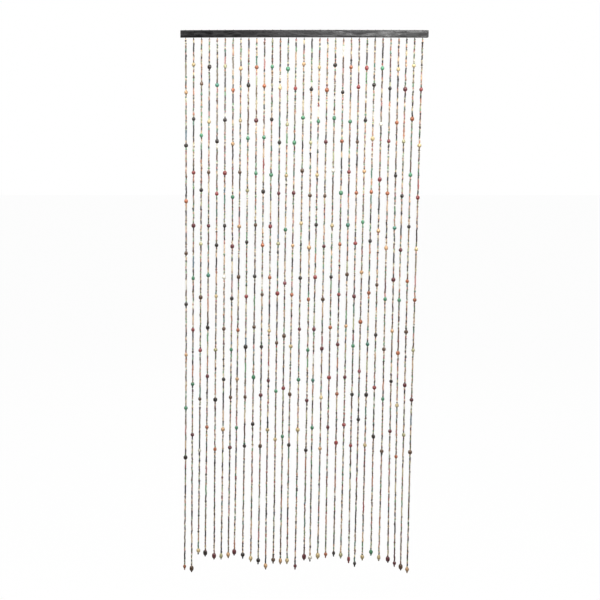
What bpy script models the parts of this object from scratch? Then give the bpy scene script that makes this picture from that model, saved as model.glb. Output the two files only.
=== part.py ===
"""Bead curtain: a wooden rail and the strands of beads that hang from it.

Metres, +Z up, +X right and -Y to the front. The origin is the middle of the rail's back
face. The threads of the strands rise through holes in the rail to one header thread, which
lies in a groove along the rail's top."""

import math
from collections import namedtuple

import bmesh
import bpy

MM = 0.001

RAIL_LENGTH = 900 * MM
RAIL_HEIGHT = 25 * MM
RAIL_DEPTH = 15 * MM
RAIL_CHAMFER = 1 * MM

RAIL_TOP = RAIL_HEIGHT / 2
RAIL_UNDERSIDE = -RAIL_HEIGHT / 2
STRAND_PLANE = -RAIL_DEPTH / 2
STRAND_SPACING = 28.7 * MM

THREAD_WIDTH = 2 * MM
THREAD_CLEARANCE = 0.3 * MM
HEADER_SUNK = 0.1 * MM
HEADER_OVERHANG = 4 * MM
CUTTER_REACH = 2 * MM

BARE_THREAD = 5 * MM
THREAD_FLARE = 1 * MM
SMALL_BEAD_WIDTH = 5.6 * MM

BIG_BEADS = 8
BIG_BEAD_WIDTH = 13.5 * MM
BIG_BEAD_WIDTH_STEP = 0.75 * MM
BIG_BEAD_SHAPES = ("round", "diamond", "oval", "diamond", "drop")
BIG_BEAD_LENGTH = {"round": 14.5 * MM, "diamond": 14.5 * MM, "oval": 16 * MM, "drop": 16 * MM}
NINTH_BEAD_WIDTH = 8 * MM
NINTH_BEAD_LENGTH = 8 * MM
NINTH_BEAD_STRANDS = (4, 6, 8, 20, 22)

SWAY_SIDEWAYS = 0.7 * MM
SWAY_FORWARD = 1.2 * MM
HANG_FORWARD = 1.5 * MM
SWAY_WAVE = 230 * MM
SWAY_TURN = 2.4
SCATTER = 6 * MM

# One row a strand, from left to right, in millimetres. Below the rail: its first big bead, the
# distance from one big bead to the next, and the tip of its end bead. To the right of plumb:
# its lean at the tip and its bow halfway down. Last, the end bead's shape.
Strand = namedtuple("Strand", "first pitch tip lean bow end")
STRANDS = (
    Strand(195, 196, 2012, 1, 3, "small_diamond"),
    Strand(100, 196, 2022, -2, 2, "large_oval"),
    Strand(160, 197, 1950, -5, 3, "ball"),
    Strand(105, 191, 1959, -6, 2, "large_oval"),
    Strand(175, 194, 1971, -2, 2, "large_oval"),
    Strand(100, 193, 1970, -2, 3, "teardrop"),
    Strand(190, 191, 1966, -4, 4, "large_diamond"),
    Strand(105, 193, 1955, -10, 3, "large_oval"),
    Strand(170, 193, 1967, -5, 1, "ball"),
    Strand(110, 190, 1981, -4, 3, "large_diamond"),
    Strand(170, 193, 1990, -3, 2, "ball"),
    Strand(105, 194, 2010, -3, 1, "large_diamond"),
    Strand(185, 187, 1988, -3, 2, "ball"),
    Strand(110, 197, 1990, -3, 0, "teardrop"),
    Strand(185, 190, 1989, -7, 0, "large_diamond"),
    Strand(90, 196, 2012, -4, 1, "small_ball"),
    Strand(185, 193, 1974, 2, 1, "large_oval"),
    Strand(110, 192, 1979, -5, -1, "ball"),
    Strand(185, 192, 1970, -3, 0, "large_oval"),
    Strand(100, 193, 1964, -2, 0, "small_ball"),
    Strand(190, 188, 1959, 0, 1, "small_diamond"),
    Strand(105, 191, 1967, 0, 1, "large_diamond"),
    Strand(180, 191, 1985, 1, 0, "slim"),
    Strand(105, 188, 2000, -4, 0, "small_diamond"),
    Strand(170, 192, 1975, -3, -1, "large_diamond"),
    Strand(115, 196, 1955, 0, -1, "large_diamond"),
    Strand(180, 194, 1977, 4, 0, "teardrop"),
    Strand(115, 193, 1984, 9, -2, "large_oval"),
    Strand(180, 197, 2000, 6, -5, "small_ball"),
    Strand(100, 197, 2015, 3, -4, "large_oval"),
    Strand(190, 193, 2025, -2, -1, "large_diamond"),
)

# Width and length of each end bead, its outline, and the length of the tail below it, which is
# a small bead and the thread's last knot.
END_NECK = 1.5 * MM
END_KNOT_WIDTH = 5 * MM
EndBead = namedtuple("EndBead", "width length outline tail")
END_BEADS = {
    "ball": EndBead(15 * MM, 17 * MM, "round", 8 * MM),
    "small_ball": EndBead(12.5 * MM, 15 * MM, "round", 8 * MM),
    "large_oval": EndBead(15.5 * MM, 20.5 * MM, "oval", 5.5 * MM),
    "large_diamond": EndBead(15.5 * MM, 19 * MM, "diamond", 6 * MM),
    "small_diamond": EndBead(12.5 * MM, 15.5 * MM, "diamond", 6.5 * MM),
    "teardrop": EndBead(14 * MM, 21.5 * MM, "drop", 5.5 * MM),
    "slim": EndBead(11 * MM, 21.5 * MM, "oval", 6.5 * MM),
}

# The square rings of a bead, from its top down: how far along it, and how wide, as shares.
OUTLINES = {
    "round": ((0.0, 0.4), (0.28, 1.0), (0.72, 1.0), (1.0, 0.4)),
    "oval": ((0.0, 0.4), (0.25, 0.96), (0.72, 0.96), (1.0, 0.4)),
    "diamond": ((0.0, 0.35), (0.5, 1.0), (1.0, 0.35)),
    "drop": ((0.0, 0.35), (0.62, 1.0), (0.86, 0.84), (1.0, 0.4)),
}


def clear_scene():
    for obj in list(bpy.data.objects):
        bpy.data.objects.remove(obj, do_unlink=True)


def make_material(name, colour, roughness):
    material = bpy.data.materials.new(name)
    material.use_nodes = True
    shader = material.node_tree.nodes["Principled BSDF"]
    shader.inputs["Base Color"].default_value = (*colour, 1.0)
    shader.inputs["Roughness"].default_value = roughness
    shader.inputs["Metallic"].default_value = 0.0
    return material


def make_object(name, bm, material=None):
    mesh = bpy.data.meshes.new(name)
    bmesh.ops.recalc_face_normals(bm, faces=bm.faces)
    bm.to_mesh(mesh)
    bm.free()
    obj = bpy.data.objects.new(name, mesh)
    bpy.context.scene.collection.objects.link(obj)
    if material:
        mesh.materials.append(material)
    return obj


def strand_x(number):
    """Strands are numbered from 1 at the left."""
    middle = (len(STRANDS) + 1) / 2
    return (number - middle) * STRAND_SPACING


def scatter(number, place):
    """A settled share from -1 to 1 for a strand and a place on it."""
    return 2 * ((number * 0.618 + place * 0.414 + number * place * 0.271) % 1.0) - 1


def sway(number, drop):
    """How far a strand wanders from plumb at a drop below the rail: sideways and forward."""
    strand = STRANDS[number - 1]
    loose = drop / (strand.tip * MM)
    turn = drop / SWAY_WAVE + number * SWAY_TURN
    drift = strand.lean * loose + strand.bow * 4 * loose * (1 - loose)
    sideways = drift * MM + SWAY_SIDEWAYS * loose * math.sin(turn)
    forward = loose * (HANG_FORWARD + SWAY_FORWARD * math.sin(1.7 * turn))
    return sideways, -forward


def bead_rings(centre, width, length, outline):
    """(drop, half width) of a bead's rings, none slimmer than the small beads."""
    slimmest = SMALL_BEAD_WIDTH / 2
    return [
        (centre + (along - 0.5) * length, max(share * width / 2, slimmest))
        for along, share in OUTLINES[outline]
    ]


def big_bead_rings(number):
    strand = STRANDS[number - 1]
    rings = []
    for place in range(BIG_BEADS):
        centre = (strand.first + place * strand.pitch) * MM + SCATTER * scatter(number, place)
        outline = BIG_BEAD_SHAPES[(number * 3 + place * 2) % len(BIG_BEAD_SHAPES)]
        width = BIG_BEAD_WIDTH + BIG_BEAD_WIDTH_STEP * ((number + place) % 3)
        rings += bead_rings(centre, width, BIG_BEAD_LENGTH[outline], outline)
    if number in NINTH_BEAD_STRANDS:
        centre = (strand.first + BIG_BEADS * strand.pitch) * MM
        rings += bead_rings(centre, NINTH_BEAD_WIDTH, NINTH_BEAD_LENGTH, "round")
    return rings


def strand_rings(number):
    """(drop, half width) of every ring from the rail's underside to the strand's tip."""
    strand = STRANDS[number - 1]
    rings = [
        (0.0, THREAD_WIDTH / 2),
        (BARE_THREAD, THREAD_WIDTH / 2),
        (BARE_THREAD + THREAD_FLARE, SMALL_BEAD_WIDTH / 2),
    ]
    rings += big_bead_rings(number)
    end = END_BEADS[strand.end]
    tip = strand.tip * MM
    centre = tip - end.tail - end.length / 2
    rings += bead_rings(centre, end.width, end.length, end.outline)
    knot = tip - end.tail + END_NECK
    rings += [(knot, END_KNOT_WIDTH / 2), (tip, END_KNOT_WIDTH / 2)]
    return rings


def add_ring(bm, x, y, z, half):
    """The corners of a level square, counter-clockwise from above."""
    corners = ((-half, -half), (half, -half), (half, half), (-half, half))
    return [bm.verts.new((x + across, y + back, z)) for across, back in corners]


def add_walls(bm, upper, lower):
    for i in range(4):
        j = (i + 1) % 4
        bm.faces.new((upper[i], lower[i], lower[j], upper[j]))


def add_header(bm, half, low, high, overhang):
    """A straight square bar over all the strands, open below at each of them.

    Returns the four corners of each opening, as a ring."""
    inner = [strand_x(n) + side * half for n in range(1, len(STRANDS) + 1) for side in (-1, 1)]
    cuts = [inner[0] - overhang, *inner, inner[-1] + overhang]
    front, back = STRAND_PLANE - half, STRAND_PLANE + half
    columns = [
        [bm.verts.new((x, y, z)) for y, z in ((front, high), (front, low), (back, low), (back, high))]
        for x in cuts
    ]
    openings = []
    for index, (left, right) in enumerate(zip(columns, columns[1:])):
        for i in range(4):
            j = (i + 1) % 4
            if i == 1 and index % 2:
                openings.append([left[1], right[1], right[2], left[2]])
                continue
            bm.faces.new((left[i], left[j], right[j], right[i]))
    bm.faces.new(columns[0])
    bm.faces.new(columns[-1])
    return openings


def add_stem(bm, ring, sections):
    """Walls from a ring down through (x, y, z, half) sections, and the cap below the last."""
    for section in sections:
        lower = add_ring(bm, *section)
        add_walls(bm, ring, lower)
        ring = lower
    bm.faces.new(ring)


def make_cutter():
    """The groove and the thread holes, to be taken out of the rail."""
    bm = bmesh.new()
    half = THREAD_WIDTH / 2 + THREAD_CLEARANCE
    floor = RAIL_TOP - HEADER_SUNK - THREAD_WIDTH - THREAD_CLEARANCE
    overhang = HEADER_OVERHANG + THREAD_CLEARANCE
    openings = add_header(bm, half, floor, RAIL_TOP + CUTTER_REACH, overhang)
    for number, ring in enumerate(openings, 1):
        add_stem(bm, ring, [(strand_x(number), STRAND_PLANE, RAIL_UNDERSIDE - CUTTER_REACH, half)])
    cutter = make_object("thread_cutter", bm)
    cutter.hide_render = True
    cutter.display_type = "WIRE"
    return cutter


def make_rail(material):
    bm = bmesh.new()
    bmesh.ops.create_cube(bm, size=1.0)
    for vert in bm.verts:
        vert.co.x *= RAIL_LENGTH
        vert.co.y = vert.co.y * RAIL_DEPTH - RAIL_DEPTH / 2
        vert.co.z *= RAIL_HEIGHT
    bmesh.ops.bevel(
        bm,
        geom=list(bm.edges),
        offset=RAIL_CHAMFER,
        segments=1,
        profile=0.5,
        affect="EDGES",
        material=-1,
    )
    rail = make_object("rail", bm, material)
    holes = rail.modifiers.new("thread_holes", "BOOLEAN")
    holes.operation = "DIFFERENCE"
    holes.solver = "EXACT"
    holes.object = make_cutter()
    return rail


def make_strings(material):
    """All the strands and the header thread that their threads are tied to, as one body."""
    bm = bmesh.new()
    high = RAIL_TOP - HEADER_SUNK
    openings = add_header(bm, THREAD_WIDTH / 2, high - THREAD_WIDTH, high, HEADER_OVERHANG)
    for number, ring in enumerate(openings, 1):
        sections = []
        for drop, half in strand_rings(number):
            sideways, forward = sway(number, drop)
            x = strand_x(number) + sideways
            sections.append((x, STRAND_PLANE + forward, RAIL_UNDERSIDE - drop, half))
        add_stem(bm, ring, sections)
    return make_object("strings", bm, material)


def main():
    clear_scene()
    make_rail(make_material("stained_wood", (0.045, 0.042, 0.042), 0.4))
    make_strings(make_material("wooden_beads", (0.3, 0.19, 0.12), 0.5))


main()
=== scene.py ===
"""Bead curtain: the visual model, in the shared frame of its CAD.

A Blender add-on that is run as a script. Each operator makes one piece, or one group of like
pieces, and the panel in the 3D view's sidebar lists them with the sizes and colours."""

import math
import random
from collections import namedtuple

import bmesh
import bpy
import numpy as np
from mathutils import Euler, Matrix, Vector


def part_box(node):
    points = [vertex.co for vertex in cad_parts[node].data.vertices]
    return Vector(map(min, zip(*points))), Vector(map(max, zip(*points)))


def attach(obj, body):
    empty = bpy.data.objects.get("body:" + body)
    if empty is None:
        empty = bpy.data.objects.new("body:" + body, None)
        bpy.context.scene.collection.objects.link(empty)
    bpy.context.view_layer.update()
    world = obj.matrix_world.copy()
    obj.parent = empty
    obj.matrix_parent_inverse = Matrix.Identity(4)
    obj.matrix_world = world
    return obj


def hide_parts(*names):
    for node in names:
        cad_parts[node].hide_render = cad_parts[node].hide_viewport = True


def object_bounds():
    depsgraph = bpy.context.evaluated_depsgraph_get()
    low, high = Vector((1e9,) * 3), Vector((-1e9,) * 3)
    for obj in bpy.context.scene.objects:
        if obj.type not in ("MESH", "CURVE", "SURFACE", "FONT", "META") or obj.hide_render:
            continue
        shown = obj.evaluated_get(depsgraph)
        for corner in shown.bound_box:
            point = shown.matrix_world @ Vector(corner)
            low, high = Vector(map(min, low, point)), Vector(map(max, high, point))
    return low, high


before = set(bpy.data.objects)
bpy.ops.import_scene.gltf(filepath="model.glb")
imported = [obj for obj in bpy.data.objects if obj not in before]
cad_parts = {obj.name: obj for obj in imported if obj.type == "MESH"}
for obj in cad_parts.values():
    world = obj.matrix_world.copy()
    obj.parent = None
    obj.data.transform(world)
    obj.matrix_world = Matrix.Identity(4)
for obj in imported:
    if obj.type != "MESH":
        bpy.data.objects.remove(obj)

bl_info = {
    "name": "Bead Curtain",
    "version": (1, 0, 0),
    "blender": (4, 5, 0),
    "location": "View3D > Sidebar > Curtain",
    "description": "Makes a door curtain of wooden beads on a wooden rail",
    "category": "Object",
}

CAD_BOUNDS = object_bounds()
RAIL_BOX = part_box("rail")
MM = 0.001

# The strands, as the CAD has them

STRAND_SPACING = 28.7 * MM
BARE_THREAD = 5 * MM
HEADER_WIDTH = 2 * MM
HEADER_SUNK = 0.1 * MM
HEADER_CLEARANCE = 0.3 * MM
HEADER_OVERHANG = 4 * MM

BIG_BEADS = 8
BIG_BEAD_WIDTH = 13.5 * MM
BIG_BEAD_WIDTH_STEP = 0.75 * MM
BIG_BEAD_SHAPES = ("round", "diamond", "oval", "diamond", "drop")
BIG_BEAD_LENGTH = {"round": 14.5 * MM, "diamond": 14.5 * MM, "oval": 16 * MM, "drop": 16 * MM}
NINTH_BEAD_SIZE = 8 * MM
NINTH_BEAD_STRANDS = (4, 6, 8, 20, 22)

SWAY_SIDEWAYS = 0.7 * MM
SWAY_FORWARD = 1.2 * MM
HANG_FORWARD = 1.5 * MM
SWAY_WAVE = 230 * MM
SWAY_TURN = 2.4
KINK = 0.5 * MM
KINK_WAVE = 48 * MM
SCATTER = 6 * MM

# One row a strand, from left to right, in millimetres. Below the rail: its first big bead, the
# distance from one big bead to the next, and the tip of its end bead. To the right of plumb:
# its lean at the tip and its bow halfway down. Last, the end bead's shape and dye.
Strand = namedtuple("Strand", "first pitch tip lean bow end dye")
STRANDS = (
    Strand(195, 196, 2012, 1, 3, "small_diamond", "rust"),
    Strand(100, 196, 2022, -2, 2, "large_oval", "brown"),
    Strand(160, 197, 1950, -5, 3, "ball", "straw"),
    Strand(105, 191, 1959, -6, 2, "large_oval", "black"),
    Strand(175, 194, 1971, -2, 2, "large_oval", "maroon"),
    Strand(100, 193, 1970, -2, 3, "teardrop", "lime"),
    Strand(190, 191, 1966, -4, 4, "large_diamond", "bare wood"),
    Strand(105, 193, 1955, -10, 3, "large_oval", "maroon"),
    Strand(170, 193, 1967, -5, 1, "ball", "black"),
    Strand(110, 190, 1981, -4, 3, "large_diamond", "straw"),
    Strand(170, 193, 1990, -3, 2, "ball", "black"),
    Strand(105, 194, 2010, -3, 1, "large_diamond", "bare wood"),
    Strand(185, 187, 1988, -3, 2, "ball", "brown"),
    Strand(110, 197, 1990, -3, 0, "teardrop", "bare wood"),
    Strand(185, 190, 1989, -7, 0, "large_diamond", "straw"),
    Strand(90, 196, 2012, -4, 1, "small_ball", "maroon"),
    Strand(185, 193, 1974, 2, 1, "large_oval", "maroon"),
    Strand(110, 192, 1979, -5, -1, "ball", "white"),
    Strand(185, 192, 1970, -3, 0, "large_oval", "straw"),
    Strand(100, 193, 1964, -2, 0, "small_ball", "rust"),
    Strand(190, 188, 1959, 0, 1, "small_diamond", "black"),
    Strand(105, 191, 1967, 0, 1, "large_diamond", "lime"),
    Strand(180, 191, 1985, 1, 0, "slim", "red"),
    Strand(105, 188, 2000, -4, 0, "small_diamond", "black"),
    Strand(170, 192, 1975, -3, -1, "large_diamond", "straw"),
    Strand(115, 196, 1955, 0, -1, "large_diamond", "green"),
    Strand(180, 194, 1977, 4, 0, "teardrop", "straw"),
    Strand(115, 193, 1984, 9, -2, "large_oval", "maroon"),
    Strand(180, 197, 2000, 6, -5, "small_ball", "maroon"),
    Strand(100, 197, 2015, 3, -4, "large_oval", "brown"),
    Strand(190, 193, 2025, -2, -1, "large_diamond", "bare wood"),
)
ASKEW_STRAND = 18
ASKEW_TILT = math.radians(32)

# Width and length of each end bead, its outline, and the length of the tail below it, which is
# a small bead and the thread's last knot.
EndBead = namedtuple("EndBead", "width length outline tail")
END_BEADS = {
    "ball": EndBead(15 * MM, 17 * MM, "round", 8 * MM),
    "small_ball": EndBead(12.5 * MM, 15 * MM, "round", 8 * MM),
    "large_oval": EndBead(15.5 * MM, 20.5 * MM, "oval", 5.5 * MM),
    "large_diamond": EndBead(15.5 * MM, 19 * MM, "diamond", 6 * MM),
    "small_diamond": EndBead(12.5 * MM, 15.5 * MM, "diamond", 6.5 * MM),
    "teardrop": EndBead(14 * MM, 21.5 * MM, "drop", 5.5 * MM),
    "slim": EndBead(11 * MM, 21.5 * MM, "oval", 6.5 * MM),
}
TAIL_BEAD_WIDTH = 5.4 * MM
LAST_KNOT = 2 * MM
DARK_TAILS = (3, 12, 18, 28)

# Small beads: width and length of each kind, and its share of what is strung.
SmallBead = namedtuple("SmallBead", "width length share")
SMALL_BEADS = {
    "seed": SmallBead(5.7 * MM, 3.4 * MM, 50),
    "barrel": SmallBead(5.6 * MM, 3.9 * MM, 40),
    "tube": SmallBead(5.2 * MM, 7.0 * MM, 6),
    "pea": SmallBead(7.6 * MM, 5.6 * MM, 4),
}
LOOSEST_LEAN = 0.35
LOOSEST_SHIFT = 0.3 * MM
# How many beads in a row have one dye, and how often
SAME_DYE_RUNS = ((1, 90), (2, 6), (4, 2), (9, 2))
SECTION_MOODS = (("mixed", 60), ("dark", 14), ("warm", 14), ("cool", 12))
MOOD_PULL = 1.7

# Dyes of the small beads: the colour as seen, its share of them, and its mood.
Dye = namedtuple("Dye", "red green blue share mood")
DYES = {
    "black": Dye(38, 28, 19, 24, "dark"),
    "brown": Dye(96, 67, 43, 11, "dark"),
    "grey": Dye(130, 118, 98, 9, "dark"),
    "teal": Dye(90, 127, 106, 6, "cool"),
    "green": Dye(112, 149, 108, 7, "cool"),
    "lime": Dye(172, 172, 136, 5, "cool"),
    "bare wood": Dye(197, 170, 140, 16, "warm"),
    "rust": Dye(178, 128, 100, 7, "warm"),
    "rose": Dye(180, 131, 124, 5, "warm"),
    "red": Dye(154, 81, 72, 3, "warm"),
    "maroon": Dye(100, 62, 60, 4, "dark"),
    "straw": Dye(200, 187, 156, 9, "mixed"),
    "white": Dye(216, 211, 199, 5, "mixed"),
    "blue": Dye(94, 114, 124, 1, "cool"),
}
# Paints of the big and the end beads, and their shares of the big beads.
Paint = namedtuple("Paint", "red green blue share")
PAINTS = {
    "black": Paint(52, 44, 38, 62),
    "brown": Paint(100, 78, 60, 30),
    "teal": Paint(84, 130, 114, 8),
    "green": Paint(86, 136, 106, 38),
    "lime": Paint(168, 164, 130, 8),
    "bare wood": Paint(186, 154, 119, 20),
    "rust": Paint(162, 104, 74, 18),
    "rose": Paint(142, 90, 94, 6),
    "red": Paint(140, 72, 70, 22),
    "maroon": Paint(102, 54, 57, 18),
    "straw": Paint(188, 171, 133, 20),
    "white": Paint(208, 204, 193, 3),
}
UNPAINTED = ("bare wood", "straw")

STRANDS_A_PIECE = 4
ROOT = "root"

# What the seed and the strand's number are multiplied by, so that each strand draws afresh
BIG_BEAD_STREAM = 977
SMALL_BEAD_STREAM = 1013
STRAND_STREAM = 31

# How far beads lean from their strand, in radians
BIG_BEAD_LEAN = 0.05
END_BEAD_LEAN = 0.05
END_BEAD_TILT = 0.06
TAIL_BEAD_LEAN = 0.1

# A run of small beads: the shortest, the room left unfilled, and how its beads' sizes vary
SHORTEST_RUN = 1.5 * MM
ROOM_LEFT = 2 * MM
LENGTH_SPREAD = (0.88, 1.14)
WIDTH_SPREAD = (0.9, 1.08)

# Bead templates, in shares of a bead's width or length
BARREL_SHOULDER = 0.34
TUBE_SHOULDER = 0.43
MOUTH_EASING = 0.012
PEA_EXTRA_SIDES = 2
BIG_BEAD_STEPS = 7
END_BEAD_STEPS = 9
END_BEAD_EXTRA_SIDES = 8

# The rail and the threads
DRILL_SIDES = 16
CAMBER_CUTS = 24
HEADER_STEPS = 90
HEADER_KNOT_THREAD = 1.1 * MM
THREAD_STEPS = 44
KNOT_STEPS = 22
TOP_KNOT = 2.9 * MM
TOP_KNOT_PLACE = 0.62
TIP_KNOT = 3.2 * MM
KNOT_THREAD_SHARE = 0.8

# How strongly the shade of a bead and the light of each surface tell
SHADE_STRENGTH = 0.16
BEAD_GLOSS = 0.9
THREAD_GLOSS = 0.2
RAIL_GLOSS = 0.36
RAIL_BUMP = 0.6

# The stage
FLOOR_REACH = 60.0
FLOOR_GLOW = 1.03
FLOOR_GLOW_SHARE = 0.94
WORLD_LIGHT = 0.12
SUN_POWER = 2.0
SUN_SPREAD = math.radians(50)


# Shared helpers


def linear(red, green, blue):
    """A colour as seen on a screen, 0 to 255, as Blender's linear values."""
    shares = (value / 255 for value in (red, green, blue))
    return tuple(s / 12.92 if s <= 0.04045 else ((s + 0.055) / 1.055) ** 2.4 for s in shares)


def strand_x(number):
    """Strands are numbered from 1 at the left."""
    middle = (len(STRANDS) + 1) / 2
    return (number - middle) * STRAND_SPACING


def scatter(number, place):
    """A settled share from -1 to 1 for a strand and a place on it."""
    return 2 * ((number * 0.618 + place * 0.414 + number * place * 0.271) % 1.0) - 1


def strand_point(number, drop):
    """Where a strand is at a drop below the rail's underside."""
    strand = STRANDS[number - 1]
    loose = drop / (strand.tip * MM)
    turn = drop / SWAY_WAVE + number * SWAY_TURN
    drift = strand.lean * loose + strand.bow * 4 * loose * (1 - loose)
    kink = KINK * math.sin(2.3 * turn) * math.sin(math.tau * drop / KINK_WAVE + number)
    sideways = drift * MM + SWAY_SIDEWAYS * loose * math.sin(turn) + kink
    forward = loose * (HANG_FORWARD + SWAY_FORWARD * math.sin(1.7 * turn))
    middle = (RAIL_BOX[0][1] + RAIL_BOX[1][1]) / 2
    return Vector((strand_x(number) + sideways, middle - forward, RAIL_BOX[0][2] - drop))


def strand_lean(number, drop):
    """The turn that lays a bead along its strand."""
    step = 4 * MM
    along = strand_point(number, drop + step) - strand_point(number, max(drop - step, 0))
    return Vector((0, 0, -1)).rotation_difference(along)


def new_object(name, mesh):
    piece = bpy.data.objects.new(name, mesh)
    bpy.context.scene.collection.objects.link(piece)
    return piece


def seat(piece, slot, *replaced):
    """Rides a finished piece on the one body, and hides the CAD parts that it replaces. The slot is
    not used.
    """
    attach(piece, ROOT)
    if replaced:
        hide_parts(*replaced)
    return piece


def dress(piece, material):
    """Gives a piece one material and no other."""
    piece.data.materials.clear()
    piece.data.materials.append(material)


def mesh_of(bm, name):
    mesh = bpy.data.meshes.new(name)
    bm.to_mesh(mesh)
    bm.free()
    return mesh


def applied(piece):
    """The piece with its modifiers or its curve made one plain mesh."""
    graph = bpy.context.evaluated_depsgraph_get()
    mesh = bpy.data.meshes.new_from_object(piece.evaluated_get(graph))
    name = piece.name
    bpy.data.objects.remove(piece, do_unlink=True)
    return new_object(name, mesh)


# Bead shapes, each turned on a lathe: width and length are 1, and the bore runs along Z


def turned(profile, sides):
    """A closed shape spun from (radius, height) points, with its two ends filled."""
    bm = bmesh.new()
    verts = [bm.verts.new((radius, 0, height)) for radius, height in profile]
    edges = [bm.edges.new(pair) for pair in zip(verts, verts[1:])]
    bmesh.ops.spin(
        bm,
        geom=[*verts, *edges],
        cent=(0, 0, 0),
        axis=(0, 0, 1),
        dvec=(0, 0, 0),
        angle=math.tau,
        steps=sides,
        use_merge=True,
    )
    rims = [edge for edge in bm.edges if edge.is_boundary]
    bmesh.ops.holes_fill(bm, edges=rims, sides=0)
    bmesh.ops.recalc_face_normals(bm, faces=bm.faces)
    return bm


def barrel_template(shoulder_height, sides):
    """A few-sided small bead: a flat end round the bore, a shoulder, and a plain side."""
    rim = (0.33, 0.495)
    shoulder = (0.5, shoulder_height)
    return turned((rim, shoulder, (0.5, -shoulder_height), (0.33, -0.495)), sides)


def seed_template(sides):
    """A few-sided small bead that is round from the side."""
    upper = ((0.3, 0.495), (0.455, 0.3), (0.5, 0))
    return turned((*upper, (0.455, -0.3), (0.3, -0.495)), sides)


def bore_mouth(side):
    """The bore's drilled mouth at one end: from its floor to its eased edge."""
    points = ((0.07, 0.40), (0.075, 0.47), (0.12, 0.5))
    return [(radius, side * height) for radius, height in points]


def lathe_profile(outline, steps):
    """(radius, height) points of a big bead's side, without its bore's mouths."""
    points = []
    for step in range(1, steps):
        turn = math.pi * step / steps
        height = 0.5 * math.cos(turn)
        if outline == "round":
            radius = 0.5 * math.sin(turn) ** 0.95
        elif outline == "oval":
            radius = 0.5 * math.sin(turn) ** 0.62
        elif outline == "drop":
            radius = 0.5 * math.sin(turn) ** 0.9 * (1 - 0.42 * (height + 0.22)) / 1.02
        else:
            radius = 0.18 + 0.32 * (1 - 2 * abs(height)) ** 0.72
        points.append((max(radius, 0.15), height * 0.97))
    return points


def big_template(outline, sides, steps):
    top, side, bottom = bore_mouth(1), lathe_profile(outline, steps), bore_mouth(-1)
    bm = turned([*top, *side, *reversed(bottom)], sides)
    rims = [edge for edge in bm.edges if all(abs(abs(v.co.z) - 0.5) < 1e-4 for v in edge.verts)]
    bmesh.ops.bevel(
        bm,
        geom=rims,
        offset=MOUTH_EASING,
        segments=2,
        profile=0.5,
        affect="EDGES",
        material=-1,
    )
    return bm


Template = namedtuple("Template", "corners starts points flat")


def read_template(bm):
    """The arrays of a template's mesh. Its ends, which are its many-sided faces, stay flat."""
    bm.verts.ensure_lookup_table()
    corners, starts, flat = [], [], []
    for face in bm.faces:
        starts.append(len(corners))
        corners += [vert.index for vert in face.verts]
        flat.append(len(face.verts) > 4)
    points = np.array([vert.co[:] for vert in bm.verts])
    bm.free()
    return Template(np.array(corners), np.array(starts), points, np.array(flat))


# A bead in its place: its template, drop, width, length, dye, shade, its own turn, and how far
# it sits off its strand's line
Bead = namedtuple(
    "Bead", "kind strand drop width length dye shade turn shift", defaults=((0, 0, 0),)
)


def join_beads(name, beads, templates, finish, coats):
    """One mesh of all the beads, each a copy of its kind's template, in its coat of colour."""
    order = list(coats)
    points, corners, starts, flat, dyes, shades = [], [], [], [], [], []
    point_count = corner_count = 0
    for kind, template in templates.items():
        those = [bead for bead in beads if bead.kind == kind]
        if not those:
            continue
        turns, places = [], []
        for bead in those:
            turn = strand_lean(bead.strand, bead.drop).to_matrix() @ Euler(bead.turn).to_matrix()
            turns.append(np.array(turn) * (bead.width, bead.width, bead.length))
            places.append((strand_point(bead.strand, bead.drop) + Vector(bead.shift))[:])
        stamped = np.einsum("bij,pj->bpi", np.array(turns), template.points)
        stamped += np.array(places)[:, None, :]
        count, size = len(those), len(template.points)
        copies = np.arange(count)[:, None]
        points.append(stamped.reshape(-1, 3))
        corners.append((template.corners + point_count + copies * size).reshape(-1))
        starts.append((template.starts + corner_count + copies * len(template.corners)).reshape(-1))
        flat.append(np.tile(template.flat, count))
        faces = len(template.starts)
        dyes.append(np.repeat([order.index(bead.dye) for bead in those], faces))
        shades.append(np.repeat([bead.shade for bead in those], faces))
        point_count += count * size
        corner_count += count * len(template.corners)
    mesh = bpy.data.meshes.new(name)
    mesh.vertices.add(point_count)
    mesh.vertices.foreach_set("co", np.concatenate(points).ravel())
    mesh.loops.add(corner_count)
    mesh.loops.foreach_set("vertex_index", np.concatenate(corners))
    starts = np.concatenate(starts)
    mesh.polygons.add(len(starts))
    mesh.polygons.foreach_set("loop_start", starts)
    mesh.polygons.foreach_set("material_index", np.concatenate(dyes))
    mesh.polygons.foreach_set("use_smooth", ~np.concatenate(flat))
    mesh.update(calc_edges=True)
    shade = mesh.attributes.new("bead_shade", "FLOAT", "FACE")
    shade.data.foreach_set("value", np.concatenate(shades))
    for dye, coat in coats.items():
        mesh.materials.append(bead_material(finish, dye, coat))
    return new_object(name, mesh)


# What is strung on a strand


def pick(draw, table):
    """One name from (name, share) pairs."""
    names, shares = zip(*table)
    return draw.choices(names, weights=shares)[0]


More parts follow.
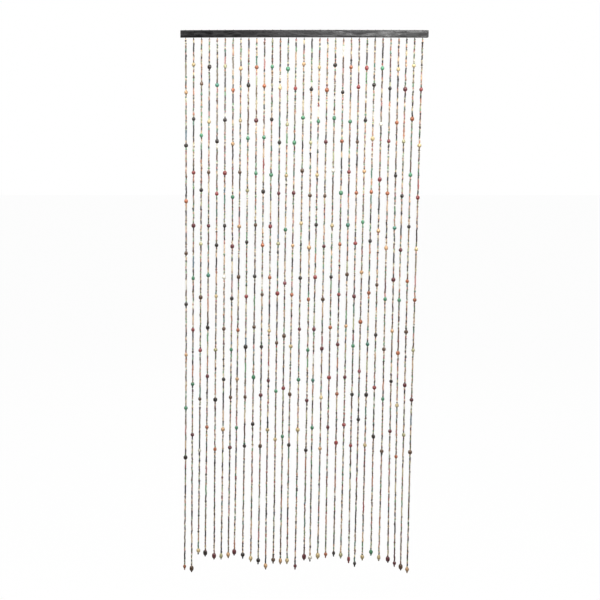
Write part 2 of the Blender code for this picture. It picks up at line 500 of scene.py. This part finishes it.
def big_beads(number):
    """The big beads of one strand, top down."""
    strand = STRANDS[number - 1]
    draw = random.Random(bpy.context.scene.curtain_beads.seed * BIG_BEAD_STREAM + number)
    shares = [(name, paint.share) for name, paint in PAINTS.items()]
    beads = []
    for place in range(BIG_BEADS + (number in NINTH_BEAD_STRANDS)):
        centre = (strand.first + place * strand.pitch) * MM
        if place < BIG_BEADS:
            outline = BIG_BEAD_SHAPES[(number * 3 + place * 2) % len(BIG_BEAD_SHAPES)]
            centre += SCATTER * scatter(number, place)
            width = BIG_BEAD_WIDTH + BIG_BEAD_WIDTH_STEP * ((number + place) % 3)
            length = BIG_BEAD_LENGTH[outline]
        else:
            outline, width, length = "round", NINTH_BEAD_SIZE, NINTH_BEAD_SIZE
        dye = pick(draw, [pair for pair in shares if not beads or pair[0] != beads[-1].dye])
        lean = [draw.gauss(0, BIG_BEAD_LEAN), draw.gauss(0, BIG_BEAD_LEAN)]
        lean.append(draw.uniform(0, math.tau))
        shade = draw.uniform(-1, 1)
        beads.append(Bead(outline, number, centre, width, length, dye, shade, lean))
    return beads


def end_bead(number):
    """The bead at the tip of a strand, just above the strand's last knot."""
    strand = STRANDS[number - 1]
    kind = END_BEADS[strand.end]
    centre = strand.tip * MM - kind.tail - kind.length / 2
    tilt = ASKEW_TILT if number == ASKEW_STRAND else END_BEAD_TILT * scatter(number, 3)
    turn = [END_BEAD_LEAN * scatter(number, 7), tilt, number]
    shade = scatter(number, 5)
    return Bead(kind.outline, number, centre, kind.width, kind.length, strand.dye, shade, turn)


def tail_bead(number):
    """The small bead that keeps the last knot out of the end bead's bore."""
    strand = STRANDS[number - 1]
    length = END_BEADS[strand.end].tail - LAST_KNOT
    centre = strand.tip * MM - LAST_KNOT - length / 2
    dye = "black" if number in DARK_TAILS else strand.dye
    turn = [TAIL_BEAD_LEAN * scatter(number, 9), TAIL_BEAD_LEAN * scatter(number, 4), 0]
    shade = scatter(number, 6)
    return Bead("seed", number, centre, TAIL_BEAD_WIDTH, length, dye, shade, turn)


def dye_shares(mood):
    """(name, share) of each dye in a stretch where one mood rules."""
    return [
        (name, dye.share * (MOOD_PULL if mood != "mixed" and dye.mood == mood else 1))
        for name, dye in DYES.items()
    ]


def small_run(draw, number, start, stop):
    """Small beads that fill a strand from one drop to another."""
    if stop - start < SHORTEST_RUN:
        return []
    kinds = [(name, bead.share) for name, bead in SMALL_BEADS.items()]
    chosen, filled = [], 0.0
    while filled < stop - start - ROOM_LEFT:
        kind = pick(draw, kinds)
        length = SMALL_BEADS[kind].length * draw.uniform(*LENGTH_SPREAD)
        chosen.append((kind, length))
        filled += length
    squeeze = (stop - start) / filled
    shares = dye_shares(pick(draw, SECTION_MOODS))
    beads, drop, run_left = [], start, 0
    for kind, length in chosen:
        length *= squeeze
        if not run_left:
            dye, run_left = pick(draw, shares), pick(draw, SAME_DYE_RUNS)
        run_left -= 1
        width = SMALL_BEADS[kind].width * draw.uniform(*WIDTH_SPREAD)
        loose = LOOSEST_LEAN * MM / length
        lean = [draw.gauss(0, loose), draw.gauss(0, loose), draw.uniform(0, math.tau)]
        shade = draw.uniform(-1, 1)
        shift = (draw.gauss(0, LOOSEST_SHIFT), draw.gauss(0, LOOSEST_SHIFT), 0)
        beads.append(Bead(kind, number, drop + length / 2, width, length, dye, shade, lean, shift))
        drop += length
    return beads


def small_beads(number):
    """All the small beads of one strand."""
    seed = bpy.context.scene.curtain_beads.seed
    draw = random.Random(seed * SMALL_BEAD_STREAM + STRAND_STREAM * number)
    beads, drop = [], BARE_THREAD
    for stop in [*big_beads(number), end_bead(number)]:
        beads += small_run(draw, number, drop, stop.drop - stop.length / 2)
        drop = stop.drop + stop.length / 2
    return beads


# Materials


def add_node(tree, kind, **values):
    """A node with its settings, and its inputs by name: input names start with a capital."""
    node = tree.nodes.new(kind)
    for name, value in values.items():
        if name[0].isupper():
            node.inputs[name.replace("_", " ")].default_value = value
        else:
            setattr(node, name, value)
    return node


def new_group(name, inputs, outputs):
    """An empty node group and its two ends. Sockets are given as {name: (kind, default)}."""
    group = bpy.data.node_groups.new(name, "ShaderNodeTree")
    for in_out, sockets in (("INPUT", inputs), ("OUTPUT", outputs)):
        for label, (kind, default) in sockets.items():
            socket = group.interface.new_socket(label, in_out=in_out, socket_type=kind)
            if default is not None:
                socket.default_value = default
    return group, group.nodes.new("NodeGroupInput"), group.nodes.new("NodeGroupOutput")


def stretched_noise(tree, stretch, scale, detail, roughness=0.55):
    """Noise on Object coordinates, drawn out along one axis by its stretch."""
    where = add_node(tree, "ShaderNodeTexCoord")
    mapping = add_node(tree, "ShaderNodeMapping", Scale=stretch)
    noise = add_node(
        tree, "ShaderNodeTexNoise", Scale=scale, Detail=detail, Roughness=roughness
    )
    tree.links.new(where.outputs["Object"], mapping.inputs["Vector"])
    tree.links.new(mapping.outputs["Vector"], noise.inputs["Vector"])
    return noise


def spread(tree, source, low, high, from_low=0.3, from_high=0.7):
    """A value mapped from the middle of a noise to a range of its own."""
    node = add_node(tree, "ShaderNodeMapRange", From_Min=from_low, From_Max=from_high)
    node.inputs["To Min"].default_value = low
    node.inputs["To Max"].default_value = high
    tree.links.new(source, node.inputs["Value"])
    return node.outputs["Result"]


def times(tree, first, second):
    """The product of two values. Either may be a socket or a number."""
    node = add_node(tree, "ShaderNodeMath", operation="MULTIPLY")
    for socket, value in zip(node.inputs, (first, second)):
        if isinstance(value, (int, float)):
            socket.default_value = value
        else:
            tree.links.new(value, socket)
    return node.outputs[0]


FLOAT, COLOUR = "NodeSocketFloat", "NodeSocketColor"


def bead_finish():
    """The group for dyed or painted wood and for thread: colour, roughness and height."""
    if "bead_finish" in bpy.data.node_groups:
        return bpy.data.node_groups["bead_finish"]
    tree, ends, out = new_group(
        "bead_finish",
        {
            "Dye": (COLOUR, None),
            "Shade": (FLOAT, 0.0),
            "Grain": (FLOAT, 0.3),
            "Sheen": (FLOAT, 0.4),
        },
        {"Colour": (COLOUR, None), "Roughness": (FLOAT, None), "Height": (FLOAT, None)},
    )
    grain = stretched_noise(tree, (1.0, 1.0, 0.12), 1500.0, 3.0)
    blotch = stretched_noise(tree, (1.0, 1.0, 0.6), 260.0, 2.0)
    shaded = add_node(tree, "ShaderNodeMath", operation="MULTIPLY_ADD")
    shaded.inputs[1].default_value = SHADE_STRENGTH
    shaded.inputs[2].default_value = 1.0
    tree.links.new(ends.outputs["Shade"], shaded.inputs[0])
    streak = spread(tree, grain.outputs["Fac"], -0.5, 0.5)
    strength = times(tree, streak, ends.outputs["Grain"])
    patch = spread(tree, blotch.outputs["Fac"], 0.93, 1.07)
    lit = add_node(tree, "ShaderNodeMath", operation="ADD")
    tree.links.new(shaded.outputs[0], lit.inputs[0])
    tree.links.new(strength, lit.inputs[1])
    value = times(tree, lit.outputs[0], patch)
    tint = add_node(tree, "ShaderNodeHueSaturation")
    tree.links.new(ends.outputs["Dye"], tint.inputs["Color"])
    tree.links.new(value, tint.inputs["Value"])
    tree.links.new(tint.outputs["Color"], out.inputs["Colour"])
    worn = spread(tree, blotch.outputs["Fac"], 0.86, 1.2)
    rough = times(tree, ends.outputs["Sheen"], worn)
    tree.links.new(rough, out.inputs["Roughness"])
    tree.links.new(grain.outputs["Fac"], out.inputs["Height"])
    return tree


def place_group(tree, group, shader, bump_strength, bump_distance):
    """Puts a finish group in a material and feeds its three outputs to the shader."""
    node = tree.nodes.new("ShaderNodeGroup")
    node.node_tree = group
    bump = add_node(tree, "ShaderNodeBump", Strength=bump_strength, Distance=bump_distance)
    tree.links.new(node.outputs["Colour"], shader.inputs["Base Color"])
    tree.links.new(node.outputs["Roughness"], shader.inputs["Roughness"])
    tree.links.new(node.outputs["Height"], bump.inputs["Height"])
    tree.links.new(bump.outputs["Normal"], shader.inputs["Normal"])
    return node


def new_material(name):
    material = bpy.data.materials.new(name)
    material.use_nodes = True
    return material, material.node_tree, material.node_tree.nodes["Principled BSDF"]


def bead_material(finish, dye, coat):
    """Dyed or painted wood under a satin lacquer, or bare wood."""
    name = f"{finish} {dye}"
    if name in bpy.data.materials:
        return bpy.data.materials[name]
    material, tree, shader = new_material(name)
    bare = dye in UNPAINTED
    node = place_group(tree, bead_finish(), shader, 0.25 if bare else 0.12, 0.0002)
    shade = add_node(tree, "ShaderNodeAttribute", attribute_name="bead_shade")
    tree.links.new(shade.outputs["Fac"], node.inputs["Shade"])
    colour = linear(coat.red, coat.green, coat.blue)
    node.inputs["Dye"].default_value = (*colour, 1.0)
    node.inputs["Grain"].default_value = 0.34 if bare else 0.14
    node.inputs["Sheen"].default_value = 0.5 if bare else 0.36
    shader.inputs["Specular IOR Level"].default_value = BEAD_GLOSS
    material.diffuse_color = (*colour, 1.0)
    return material


def thread_material():
    """Twisted dark cotton."""
    if "dark thread" in bpy.data.materials:
        return bpy.data.materials["dark thread"]
    material, tree, shader = new_material("dark thread")
    node = place_group(tree, bead_finish(), shader, 0.5, 0.0003)
    settings = bpy.context.scene.curtain_rail
    node.inputs["Dye"].default_value = (*settings.thread, 1.0)
    node.inputs["Grain"].default_value = 0.5
    node.inputs["Sheen"].default_value = 0.85
    shader.inputs["Specular IOR Level"].default_value = THREAD_GLOSS
    return material


def rail_material():
    """Wood under a dark stain that has taken unevenly along the grain."""
    material, tree, shader = new_material("dark stained wood")
    shader.inputs["Specular IOR Level"].default_value = RAIL_GLOSS
    settings = bpy.context.scene.curtain_rail
    long_grain = stretched_noise(tree, (0.05, 1.0, 1.0), 330.0, 6.0, 0.62)
    streaks = stretched_noise(tree, (0.16, 1.0, 1.0), 160.0, 3.0)
    clouds = stretched_noise(tree, (0.5, 1.0, 1.0), 16.0, 2.0)
    colour = add_node(tree, "ShaderNodeMix", data_type="RGBA")
    colour.inputs["A"].default_value = (*settings.stain, 1.0)
    colour.inputs["B"].default_value = (*settings.pale_grain, 1.0)
    fibre = spread(tree, long_grain.outputs["Fac"], 0.0, 1.0, 0.42, 0.72)
    band = spread(tree, streaks.outputs["Fac"], 0.15, 1.0, 0.4, 0.66)
    tree.links.new(times(tree, fibre, band), colour.inputs["Factor"])
    tree.links.new(colour.outputs["Result"], shader.inputs["Base Color"])
    rough = spread(tree, clouds.outputs["Fac"], settings.sheen - 0.06, settings.sheen + 0.08)
    patchy = spread(tree, streaks.outputs["Fac"], 0.6, 1.6)
    tree.links.new(times(tree, rough, patchy), shader.inputs["Roughness"])
    bump = add_node(tree, "ShaderNodeBump", Strength=RAIL_BUMP, Distance=0.0004)
    tree.links.new(long_grain.outputs["Fac"], bump.inputs["Height"])
    tree.links.new(bump.outputs["Normal"], shader.inputs["Normal"])
    return material


# Sizes and colours that a user would change


class CurtainRailSettings(bpy.types.PropertyGroup):
    edge: bpy.props.FloatProperty(
        name="Eased edge",
        description="Radius of the rail's long edges",
        default=1.2 * MM,
        unit="LENGTH",
    )
    camber: bpy.props.FloatProperty(
        name="Camber",
        description="Rise of the rail's middle",
        default=1.2 * MM,
        unit="LENGTH",
    )
    sheen: bpy.props.FloatProperty(
        name="Roughness",
        description="Roughness of the lacquer",
        default=0.25,
        subtype="FACTOR",
    )
    stain: bpy.props.FloatVectorProperty(
        name="Stain",
        description="Colour of the stained wood",
        default=(0.008, 0.008, 0.008),
        subtype="COLOR",
    )
    pale_grain: bpy.props.FloatVectorProperty(
        name="Pale grain",
        description="Colour of the fibres that took less stain",
        default=(0.06, 0.058, 0.06),
        subtype="COLOR",
    )
    thread: bpy.props.FloatVectorProperty(
        name="Thread",
        description="Colour of the thread",
        default=(0.035, 0.03, 0.027),
        subtype="COLOR",
    )


class CurtainBeadSettings(bpy.types.PropertyGroup):
    seed: bpy.props.IntProperty(
        name="Seed", description="Another seed strings the beads in another order", default=5, min=0
    )
    thread_width: bpy.props.FloatProperty(
        name="Thread width",
        description="Width of each strand's thread",
        default=1.3 * MM,
        unit="LENGTH",
    )
    small_sides: bpy.props.IntProperty(
        name="Small bead sides", description="Sides of a small bead", default=6, min=6, max=12
    )
    big_sides: bpy.props.IntProperty(
        name="Big bead sides", description="Sides of a big bead", default=12, min=10, max=24
    )


class CurtainStageSettings(bpy.types.PropertyGroup):
    distance: bpy.props.FloatProperty(
        name="Camera distance",
        description="From the camera to the curtain",
        default=4.0,
        unit="LENGTH",
    )
    left: bpy.props.FloatProperty(
        name="Camera to the left",
        description="How far left of the curtain's middle the camera stands",
        default=0.506,
        unit="LENGTH",
    )
    below: bpy.props.FloatProperty(
        name="Camera below the rail",
        description="Below the rail's top",
        default=0.4904,
        unit="LENGTH",
    )
    pitch: bpy.props.FloatProperty(
        name="Camera pitch",
        description="How far the camera looks down",
        default=math.radians(7.08),
        subtype="ANGLE",
    )
    lens: bpy.props.FloatProperty(
        name="Lens", description="Focal length in millimetres", default=64.47
    )
    shift: bpy.props.FloatProperty(
        name="Shift", description="Sideways shift of the picture", default=0.225
    )
    gamma: bpy.props.FloatProperty(
        name="Gamma",
        description="Gamma of the view: less is deeper in the middle tones",
        default=0.8,
    )
    floor_drop: bpy.props.FloatProperty(
        name="Floor",
        description="From the longest tip down to the floor",
        default=0.12,
        unit="LENGTH",
    )


# Operators


class CURTAIN_OT_rail(bpy.types.Operator):
    """Make the wooden rail, with its groove and its drilled holes"""

    bl_idname = "curtain.rail"
    bl_label = "Rail"

    def execute(self, context):
        settings = context.scene.curtain_rail
        low, high = RAIL_BOX
        size, middle = high - low, (low + high) / 2
        bm = bmesh.new()
        bmesh.ops.create_cube(bm, size=1.0, matrix=Matrix.LocRotScale(middle, None, size))
        bmesh.ops.bevel(
            bm,
            geom=list(bm.edges),
            offset=settings.edge,
            segments=3,
            profile=0.5,
            affect="EDGES",
            material=-1,
        )
        rail = new_object("wooden_rail", mesh_of(bm, "wooden_rail"))
        cutter = self.cutter()
        holes = rail.modifiers.new("holes", "BOOLEAN")
        holes.operation = "DIFFERENCE"
        holes.solver = "EXACT"
        holes.object = cutter
        rail = applied(rail)
        bpy.data.objects.remove(cutter, do_unlink=True)
        self.bow(rail.data, size.x, settings.camber)
        dress(rail, rail_material())
        seat(rail, "stained_wood", "rail")
        return {"FINISHED"}

    def cutter(self):
        """The groove for the header thread, joined to a drill for each strand."""
        low, high = RAIL_BOX
        middle = (low.y + high.y) / 2
        reach = 2 * MM
        floor = high.z - HEADER_SUNK - HEADER_WIDTH - HEADER_CLEARANCE
        width = HEADER_WIDTH + 2 * HEADER_CLEARANCE
        end = strand_x(len(STRANDS)) + width / 2 + HEADER_OVERHANG
        bm = bmesh.new()
        groove = Matrix.LocRotScale(
            Vector((0, middle, (floor + high.z + reach) / 2)),
            None,
            Vector((2 * end, width, high.z + reach - floor)),
        )
        bmesh.ops.create_cube(bm, size=1.0, matrix=groove)
        groove_object = new_object("groove", mesh_of(bm, "groove"))
        bm = bmesh.new()
        for number in range(1, len(STRANDS) + 1):
            bottom, top = low.z - reach, floor + reach / 2
            place = Vector((strand_x(number), middle, (bottom + top) / 2))
            bmesh.ops.create_cone(
                bm,
                cap_ends=True,
                segments=DRILL_SIDES,
                radius1=width / 2,
                radius2=width / 2,
                depth=top - bottom,
                matrix=Matrix.Translation(place),
            )
        drills = new_object("drills", mesh_of(bm, "drills"))
        join = groove_object.modifiers.new("drills", "BOOLEAN")
        join.operation = "UNION"
        join.solver = "EXACT"
        join.object = drills
        cutter = applied(groove_object)
        bpy.data.objects.remove(drills, do_unlink=True)
        return cutter

    def bow(self, mesh, length, rise):
        """Cuts the rail across at even steps and lifts its middle a little."""
        bm = bmesh.new()
        bm.from_mesh(mesh)
        for cut in range(1, CAMBER_CUTS):
            place = Vector(((cut / CAMBER_CUTS - 0.5) * length, 0, 0))
            geometry = [*bm.verts, *bm.edges, *bm.faces]
            bmesh.ops.bisect_plane(bm, geom=geometry, plane_co=place, plane_no=(1, 0, 0), dist=1e-6)
        for vert in bm.verts:
            vert.co.z += rise * (1 - (2 * vert.co.x / length) ** 2)
        bm.to_mesh(mesh)
        bm.free()


def thread_object(name, runs, width):
    """A mesh of round threads along lists of points."""
    curve = bpy.data.curves.new(name, "CURVE")
    curve.dimensions = "3D"
    curve.bevel_depth = width / 2
    curve.bevel_resolution = 1
    curve.use_fill_caps = True
    for points in runs:
        spline = curve.splines.new("POLY")
        spline.points.add(len(points) - 1)
        spline.points.foreach_set("co", np.array([(*point, 1.0) for point in points]).ravel())
    return applied(new_object(name, curve))


def knot_points(centre, size, turn):
    """The course of an overhand knot drawn tight round a point."""
    points = []
    for step in range(KNOT_STEPS + 1):
        t = math.tau * step / KNOT_STEPS
        x = math.sin(t) + 2 * math.sin(2 * t)
        y = math.cos(t) - 2 * math.cos(2 * t)
        place = Vector((x, y, -1.2 * math.sin(3 * t))) * size / 6
        place.rotate(Euler((0.4 * turn, 0.3, turn)))
        points.append(centre + place)
    return points


def rail_lift(x):
    """How far the rail's camber lifts what is on it."""
    length = RAIL_BOX[1][0] - RAIL_BOX[0][0]
    return bpy.context.scene.curtain_rail.camber * (1 - (2 * x / length) ** 2)


class CURTAIN_OT_header(bpy.types.Operator):
    """Lay the header thread in the rail's groove and tie the strands' knots on it"""

    bl_idname = "curtain.header"
    bl_label = "Header thread and knots"

    def execute(self, context):
        middle = (RAIL_BOX[0][1] + RAIL_BOX[1][1]) / 2
        height = RAIL_BOX[1][2] - HEADER_SUNK - HEADER_WIDTH / 2
        end = strand_x(len(STRANDS)) + HEADER_OVERHANG
        line = []
        for step in range(HEADER_STEPS + 1):
            x = (2 * step / HEADER_STEPS - 1) * end
            line.append(Vector((x, middle, height + rail_lift(x))))
        knots = []
        for number in range(1, len(STRANDS) + 1):
            x = strand_x(number)
            size = (3.4 + 0.7 * scatter(number, 2)) * MM
            centre = Vector((x, middle, RAIL_BOX[1][2] + 0.02 * size + rail_lift(x)))
            knots.append(knot_points(centre, size, number))
        header = thread_object("header_thread", [line], HEADER_WIDTH)
        tied = thread_object("header_knots", knots, HEADER_KNOT_THREAD)
        for piece in (header, tied):
            dress(piece, thread_material())
            seat(piece, "wooden_beads", "strings")
        return {"FINISHED"}


class CURTAIN_OT_threads(bpy.types.Operator):
    """Run a thread down each strand from the header, knotted below the rail and at its tip"""

    bl_idname = "curtain.threads"
    bl_label = "Strand threads"

    def execute(self, context):
        width = context.scene.curtain_beads.thread_width
        up = RAIL_BOX[1][2] - RAIL_BOX[0][2] - HEADER_WIDTH / 2
        runs, knots = [], []
        for number, strand in enumerate(STRANDS, 1):
            tip = strand.tip * MM
            top = strand_point(number, 0)
            run = [top + Vector((0, 0, up))]
            run += [
                strand_point(number, tip * step / THREAD_STEPS) for step in range(THREAD_STEPS + 1)
            ]
            runs.append(run)
            start = strand_point(number, TOP_KNOT_PLACE * BARE_THREAD)
            knots.append(knot_points(start, TOP_KNOT, 1.3 * number))
            last = strand_point(number, tip - LAST_KNOT)
            knots.append(knot_points(last, TIP_KNOT, 2.1 * number))
        threads = thread_object("strand_threads", runs, width)
        tied = thread_object("strand_knots", knots, KNOT_THREAD_SHARE * width)
        for piece in (threads, tied):
            dress(piece, thread_material())
            seat(piece, "wooden_beads", "strings")
        return {"FINISHED"}


class CURTAIN_OT_small_beads(bpy.types.Operator):
    """String the small beads, a few strands to a piece"""

    bl_idname = "curtain.small_beads"
    bl_label = "Small beads"

    def execute(self, context):
        sides = context.scene.curtain_beads.small_sides
        templates = {
            "seed": read_template(seed_template(sides)),
            "barrel": read_template(barrel_template(BARREL_SHOULDER, sides)),
            "tube": read_template(barrel_template(TUBE_SHOULDER, sides)),
            "pea": read_template(seed_template(sides + PEA_EXTRA_SIDES)),
        }
        numbers = range(1, len(STRANDS) + 1)
        for first in numbers[::STRANDS_A_PIECE]:
            group = numbers[first - 1 : first - 1 + STRANDS_A_PIECE]
            beads = [bead for number in group for bead in small_beads(number)]
            name = f"small_beads_{group[0]:02d}_to_{group[-1]:02d}"
            piece = join_beads(name, beads, templates, "dyed", DYES)
            seat(piece, "wooden_beads", "strings")
        return {"FINISHED"}


class CURTAIN_OT_big_beads(bpy.types.Operator):
    """Turn the big beads and string them at even steps down the strands"""

    bl_idname = "curtain.big_beads"
    bl_label = "Big beads"

    def execute(self, context):
        sides = context.scene.curtain_beads.big_sides
        outlines = sorted(set(BIG_BEAD_SHAPES))
        templates = {
            name: read_template(big_template(name, sides, BIG_BEAD_STEPS)) for name in outlines
        }
        beads = [bead for number in range(1, len(STRANDS) + 1) for bead in big_beads(number)]
        piece = join_beads("big_beads", beads, templates, "painted", PAINTS)
        seat(piece, "wooden_beads", "strings")
        return {"FINISHED"}


class CURTAIN_OT_end_beads(bpy.types.Operator):
    """Turn the end beads and hang one at the tip of each strand, over its tail bead"""

    bl_idname = "curtain.end_beads"
    bl_label = "End beads"

    def execute(self, context):
        sides = context.scene.curtain_beads.big_sides + END_BEAD_EXTRA_SIDES
        outlines = sorted({kind.outline for kind in END_BEADS.values()})
        templates = {
            name: read_template(big_template(name, sides, END_BEAD_STEPS)) for name in outlines
        }
        templates["seed"] = read_template(seed_template(sides))
        numbers = range(1, len(STRANDS) + 1)
        beads = [make(number) for number in numbers for make in (end_bead, tail_bead)]
        piece = join_beads("end_beads", beads, templates, "painted", PAINTS)
        seat(piece, "wooden_beads", "strings")
        return {"FINISHED"}


class CURTAIN_OT_stage(bpy.types.Operator):
    """Set the plain floor, the soft lights and the camera"""

    bl_idname = "curtain.stage"
    bl_label = "Stage"

    def execute(self, context):
        settings = context.scene.curtain_stage
        self.floor(settings.floor_drop)
        self.world(context.scene)
        self.lights()
        self.camera(context.scene, settings)
        context.scene.view_settings.view_transform = "Standard"
        context.scene.view_settings.gamma = settings.gamma
        return {"FINISHED"}

    def floor(self, drop):
        bm = bmesh.new()
        height = CAD_BOUNDS[0][2] - drop
        bmesh.ops.create_grid(
            bm,
            x_segments=4,
            y_segments=4,
            size=FLOOR_REACH,
            matrix=Matrix.Translation((0, 0, height)),
        )
        floor = new_object("floor", mesh_of(bm, "floor"))
        material, tree, shader = new_material("pale floor")
        shader.inputs["Base Color"].default_value = (0.35, 0.35, 0.345, 1.0)
        shader.inputs["Roughness"].default_value = 0.9
        shader.inputs["Specular IOR Level"].default_value = 0.1
        glow = add_node(tree, "ShaderNodeEmission", Strength=FLOOR_GLOW)
        path = add_node(tree, "ShaderNodeLightPath")
        mix = add_node(tree, "ShaderNodeMixShader")
        seen = times(tree, path.outputs["Is Camera Ray"], FLOOR_GLOW_SHARE)
        tree.links.new(seen, mix.inputs["Fac"])
        tree.links.new(shader.outputs["BSDF"], mix.inputs[1])
        tree.links.new(glow.outputs["Emission"], mix.inputs[2])
        tree.links.new(mix.outputs["Shader"], tree.nodes["Material Output"].inputs["Surface"])
        floor.data.materials.append(material)

    def world(self, scene):
        """White where it is seen, and dimmer where it only lights."""
        world = bpy.data.worlds.new("studio")
        world.use_nodes = True
        tree = world.node_tree
        seen = tree.nodes["Background"]
        seen.inputs["Color"].default_value = (1.0, 1.0, 1.0, 1.0)
        seen.inputs["Strength"].default_value = 1.0
        white = (1.0, 1.0, 1.0, 1.0)
        dim = add_node(tree, "ShaderNodeBackground", Color=white, Strength=WORLD_LIGHT)
        mix = add_node(tree, "ShaderNodeMixShader")
        path = add_node(tree, "ShaderNodeLightPath")
        tree.links.new(path.outputs["Is Camera Ray"], mix.inputs["Fac"])
        tree.links.new(dim.outputs["Background"], mix.inputs[1])
        tree.links.new(seen.outputs["Background"], mix.inputs[2])
        tree.links.new(mix.outputs["Shader"], tree.nodes["World Output"].inputs["Surface"])
        scene.world = world

    def lights(self):
        """Softboxes far off at the right, near each side and behind, and soft light from above."""
        for name, place, aim, size, power in (
            ("key", (1.04, -4.1, 0.5), (0.2, 0, -0.1), 1.0, 58),
            ("left fill", (-1.2, -1.4, 0.9), (0, 0, 0.1), 1.2, 56),
            ("right fill", (1.4, -1.4, 0.9), (0, 0, 0.1), 1.2, 55),
            ("back fill", (0.3, 4.0, 1.7), (0, 0, -0.9), 2.4, 60),
        ):
            data = bpy.data.lights.new(name, "AREA")
            data.size = size
            data.energy = power
            light = bpy.data.objects.new(name, data)
            bpy.context.scene.collection.objects.link(light)
            light.location = place
            aim = Vector(aim) - light.location
            light.rotation_euler = aim.to_track_quat("-Z", "Y").to_euler()
        data = bpy.data.lights.new("overhead", "SUN")
        data.energy = SUN_POWER
        data.angle = SUN_SPREAD
        sun = bpy.data.objects.new("overhead", data)
        sun.rotation_euler = (math.radians(4), math.radians(-12), 0)
        bpy.context.scene.collection.objects.link(sun)

    def camera(self, scene, settings):
        data = bpy.data.cameras.new("camera")
        data.lens = settings.lens
        data.sensor_width = 36.0
        data.shift_x = settings.shift
        data.clip_end = 200.0
        camera = bpy.data.objects.new("camera", data)
        camera.location = (-settings.left, -settings.distance, RAIL_BOX[1][2] - settings.below)
        camera.rotation_euler = (math.pi / 2 - settings.pitch, 0, 0)
        scene.collection.objects.link(camera)
        scene.camera = camera


class CURTAIN_PT_panel(bpy.types.Panel):
    """The curtain's pieces, sizes and colours"""

    bl_idname = "CURTAIN_PT_panel"
    bl_label = "Bead Curtain"
    bl_space_type = "VIEW_3D"
    bl_region_type = "UI"
    bl_category = "Curtain"

    def draw(self, context):
        for settings in (
            context.scene.curtain_rail,
            context.scene.curtain_beads,
            context.scene.curtain_stage,
        ):
            box = self.layout.box()
            for name in settings.bl_rna.properties.keys():
                if name not in ("rna_type", "name"):
                    box.prop(settings, name)
        for operator in OPERATORS:
            self.layout.operator(operator.bl_idname)


OPERATORS = (
    CURTAIN_OT_stage,
    CURTAIN_OT_rail,
    CURTAIN_OT_header,
    CURTAIN_OT_threads,
    CURTAIN_OT_small_beads,
    CURTAIN_OT_big_beads,
    CURTAIN_OT_end_beads,
)
SETTINGS = {
    "curtain_rail": CurtainRailSettings,
    "curtain_beads": CurtainBeadSettings,
    "curtain_stage": CurtainStageSettings,
}


def register():
    for cls in (*SETTINGS.values(), *OPERATORS, CURTAIN_PT_panel):
        bpy.utils.register_class(cls)
    for name, cls in SETTINGS.items():
        setattr(bpy.types.Scene, name, bpy.props.PointerProperty(type=cls))


def unregister():
    for name in SETTINGS:
        delattr(bpy.types.Scene, name)
    for cls in reversed((*SETTINGS.values(), *OPERATORS, CURTAIN_PT_panel)):
        bpy.utils.unregister_class(cls)


def main():
    register()
    for operator in OPERATORS:
        group, name = operator.bl_idname.split(".")
        getattr(getattr(bpy.ops, group), name)()


if __name__ == "__main__":
    main()
